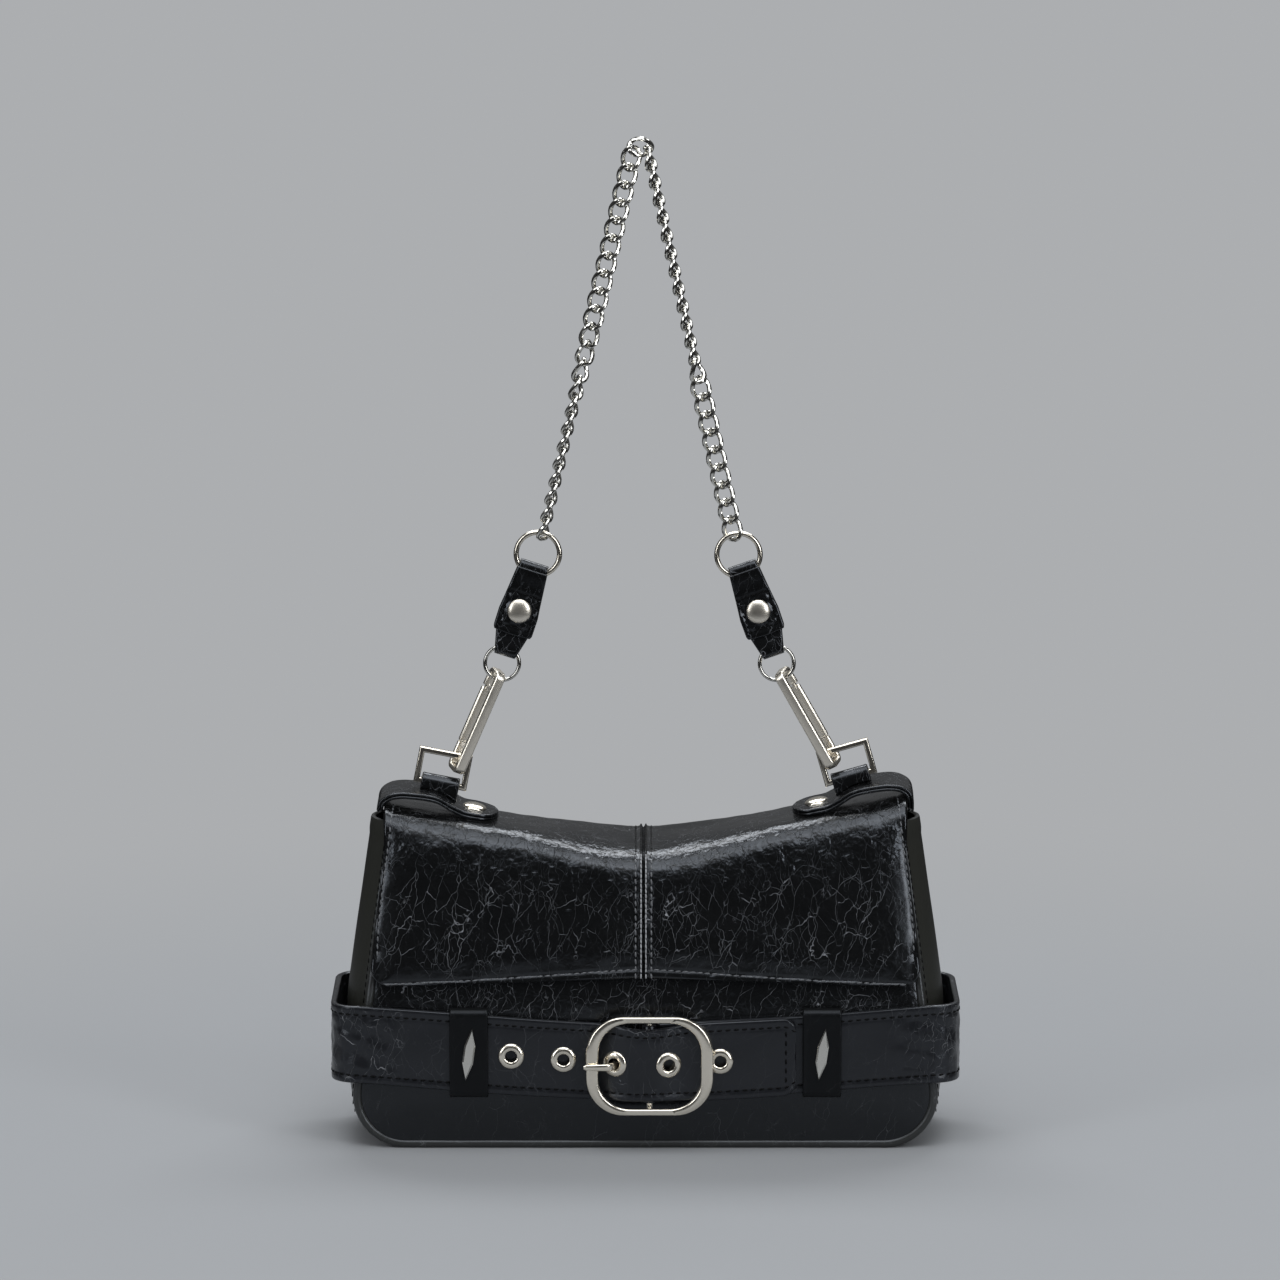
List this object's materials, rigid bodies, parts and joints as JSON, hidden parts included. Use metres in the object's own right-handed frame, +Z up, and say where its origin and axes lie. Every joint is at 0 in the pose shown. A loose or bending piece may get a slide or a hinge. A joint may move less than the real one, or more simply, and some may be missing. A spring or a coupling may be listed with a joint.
{
  "type": "shoulder handbag",
  "caption": "Flap handbag of black crackled leather with a buckled belt round its body, a V-shaped top and a shoulder strap of clips, leather tabs and curb chain.",
  "frame": {"origin": "centre of the base, on the ground", "axes": "+Z up, +X to the right seen from the front, -Y out of the front (the buckle side)"},
  "size_m": [0.289, 0.0857, 0.4639],
  "materials": {
    "patent_leather": "glossy crackled",
    "smooth_leather": "smooth satin",
    "lining_cloth": "woven matt",
    "nickel": "polished pale nickel",
    "steel": "polished"
  },
  "bodies": {
    "bag": {"front_panel": "patent_leather", "back_panel": "patent_leather", "gusset_left": "smooth_leather", "gusset_right": "smooth_leather", "base_panel": "smooth_leather", "base_board": "lining_cloth", "piping_front": "patent_leather", "piping_back": "patent_leather", "lining": "lining_cloth", "yoke": "patent_leather", "panel_magnet": "nickel", "belt_long": "patent_leather", "belt_short": "patent_leather", "eyelets": "nickel", "keeper_left": "patent_leather", "keeper_right": "patent_leather", "keeper_studs": "steel", "strip_left": "patent_leather", "strip_right": "patent_leather", "strip_rivets": "nickel", "ring_loop_left": "patent_leather", "ring_loop_right": "patent_leather"},
    "flap_body": {"flap": "patent_leather", "flap_facing": "lining_cloth", "flap_magnet": "nickel"},
    "frame_body": {"buckle_frame": "nickel"},
    "tongue_body": {"buckle_tongue": "nickel"},
    "left_ring_body": {"ring_left": "nickel"},
    "right_ring_body": {"ring_right": "nickel"},
    "clips": {"clip_left": "nickel", "clip_right": "nickel", "gate_pins": "steel"},
    "left_gate_body": {"gate_left": "nickel"},
    "right_gate_body": {"gate_right": "nickel"},
    "tabs": {"lower_ring_left": "steel", "lower_ring_right": "steel", "tab_left": "patent_leather", "tab_right": "patent_leather", "tab_rivets": "nickel", "upper_ring_left": "nickel", "upper_ring_right": "nickel"},
    "chain_body": {"chain_left": "steel", "chain_right": "steel", "chain_top": "steel"}
  },
  "joints": [
    {"name": "flap_hinge", "type": "hinge", "parent": "bag", "child": "flap_body", "pos_m": [0, -0.0242, 0.153], "axis": [-1, 0, 0], "range_deg": [0, 140]},
    {"name": "strap_swing", "type": "hinge", "parent": "bag", "child": "clips", "pos_m": [0, -0.00203, 0.16637], "axis": [-0.9999, 0, -0.0161], "range_deg": [-20, 40]},
    {"name": "ring_left_swing", "type": "hinge", "parent": "bag", "child": "left_ring_body", "pos_m": [-0.0946, -0.00203, 0.16484], "axis": [-0.9816, 0, 0.1908], "range_deg": [-20, 40]},
    {"name": "ring_right_swing", "type": "hinge", "parent": "bag", "child": "right_ring_body", "pos_m": [0.0946, -0.00203, 0.1679], "axis": [-0.9613, 0, -0.2756], "range_deg": [-20, 40]},
    {"name": "tab_swing", "type": "hinge", "parent": "clips", "child": "tabs", "pos_m": [-0.00239, -0.00203, 0.21402], "axis": [-1, 0, -0.0023], "range_deg": [-45, 30]},
    {"name": "chain_swing", "type": "hinge", "parent": "tabs", "child": "chain_body", "pos_m": [-0.00333, -0.00203, 0.28144], "axis": [-1, 0, 0.0052], "range_deg": [-45, 45]},
    {"name": "gate_left_turn", "type": "hinge", "parent": "clips", "child": "left_gate_body", "pos_m": [-0.07344, 0.00306, 0.20779], "axis": [-0.8722, -0.309, 0.3792], "range_deg": [0, 15], "stiffness_Nm_per_rad": 0.02, "springref_deg": -5.73},
    {"name": "gate_right_turn", "type": "hinge", "parent": "clips", "child": "right_gate_body", "pos_m": [0.06927, 0.00306, 0.20859], "axis": [-0.8278, 0.309, -0.4683], "range_deg": [0, 15], "stiffness_Nm_per_rad": 0.02, "springref_deg": -5.73},
    {"name": "buckle_rock", "type": "hinge", "parent": "bag", "child": "frame_body", "pos_m": [0.0019, -0.0386, 0.04105], "axis": [0, 0, -1], "range_deg": [0, 4]},
    {"name": "tongue_lift", "type": "hinge", "parent": "frame_body", "child": "tongue_body", "pos_m": [0.0019, -0.0386, 0.04105], "axis": [0, 0, 1], "range_deg": [0, 2.5]}
  ],
  "couplings": [
    {"joint": "ring_left_swing", "follows": "strap_swing", "ratio": 1},
    {"joint": "ring_right_swing", "follows": "strap_swing", "ratio": 1}
  ]
}
